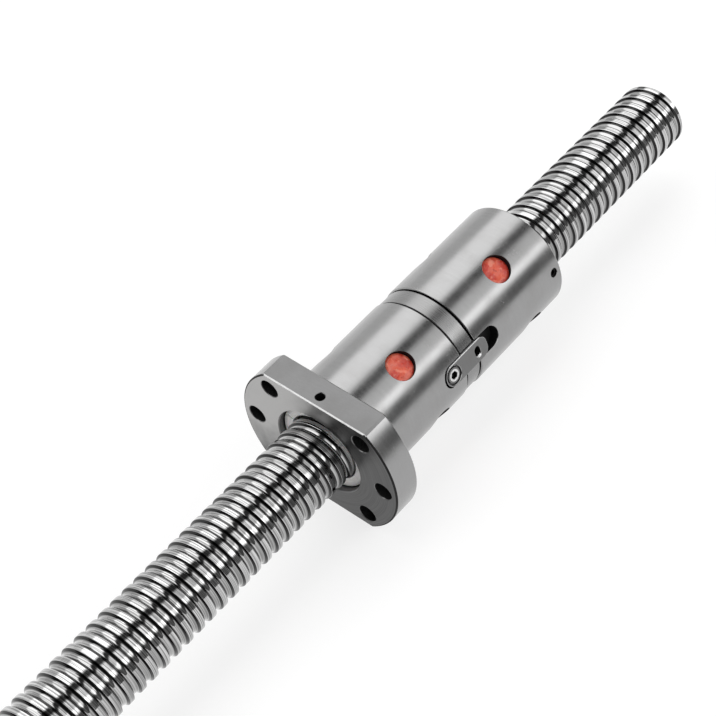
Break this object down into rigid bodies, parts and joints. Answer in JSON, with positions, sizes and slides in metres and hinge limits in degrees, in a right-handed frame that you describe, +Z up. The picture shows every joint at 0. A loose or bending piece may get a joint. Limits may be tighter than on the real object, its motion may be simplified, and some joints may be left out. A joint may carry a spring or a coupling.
{
  "type": "ball screw assembly",
  "caption": "Ball screw shaft in a preloaded double ball nut with a two-flat mounting flange, spacer, locking key and wipers; turning the screw feeds it through the nut.",
  "frame": {"origin": "under the middle of the screw shaft, at the level of the lower flat of the flange", "axes": "+X along the screw from the flange end of the nut to its plain end, +Z up, square to the two flats of the flange"},
  "size_m": [0.35, 0.062, 0.048],
  "materials": {
    "screw_steel": "rolled and polished hardened steel, glossy",
    "ground_steel": "cylindrically ground hardened steel, satin, with a fine grain round the axis",
    "key_steel": "surface ground steel, satin",
    "key_screw_steel": "bright steel socket head",
    "ball_steel": "mirror polished bearing steel",
    "deflector_steel": "sintered steel, matt",
    "lock_steel": "black oxide",
    "wiper_plastic": "grey moulded acetal, satin",
    "red_resin": "cast orange-red resin with light and dark mottling",
    "grease": "amber lithium grease"
  },
  "bodies": {
    "nut": {"flanged_nut": "ground_steel", "plain_nut": "ground_steel", "preload_spacer": "ground_steel", "key_plate": "key_steel", "key_screw": "key_screw_steel", "front_wiper": "wiper_plastic", "rear_wiper": "wiper_plastic", "front_wiper_screw": "lock_steel", "rear_wiper_screw": "lock_steel", "flanged_nut_deflector_1": "deflector_steel", "flanged_nut_resin_1": "red_resin", "flanged_nut_balls_1": "ball_steel", "flanged_nut_deflector_2": "deflector_steel", "flanged_nut_resin_2": "red_resin", "flanged_nut_balls_2": "ball_steel", "flanged_nut_deflector_3": "deflector_steel", "flanged_nut_resin_3": "red_resin", "flanged_nut_balls_3": "ball_steel", "flanged_nut_deflector_4": "deflector_steel", "flanged_nut_resin_4": "red_resin", "flanged_nut_balls_4": "ball_steel", "plain_nut_deflector_1": "deflector_steel", "plain_nut_resin_1": "red_resin", "plain_nut_balls_1": "ball_steel", "plain_nut_deflector_2": "deflector_steel", "plain_nut_resin_2": "red_resin", "plain_nut_balls_2": "ball_steel", "plain_nut_deflector_3": "deflector_steel", "plain_nut_resin_3": "red_resin", "plain_nut_balls_3": "ball_steel", "plain_nut_deflector_4": "deflector_steel", "plain_nut_resin_4": "red_resin", "plain_nut_balls_4": "ball_steel"},
    "grease": {"grease_ring": "grease"},
    "screw": {"screw_shaft": "screw_steel"}
  },
  "joints": [
    {"name": "screw_spin", "type": "hinge", "parent": "nut", "child": "grease", "pos_m": [0, 0, 0.024], "axis": [1, 0, 0], "range_deg": [-5400, 10800]},
    {"name": "screw_feed", "type": "slide", "parent": "grease", "child": "screw", "axis": [1, 0, 0], "range_m": [-0.0751, 0.1501]}
  ],
  "couplings": [
    {"joint": "screw_feed", "follows": "screw_spin", "m_per_rad": 0.00079577}
  ]
}
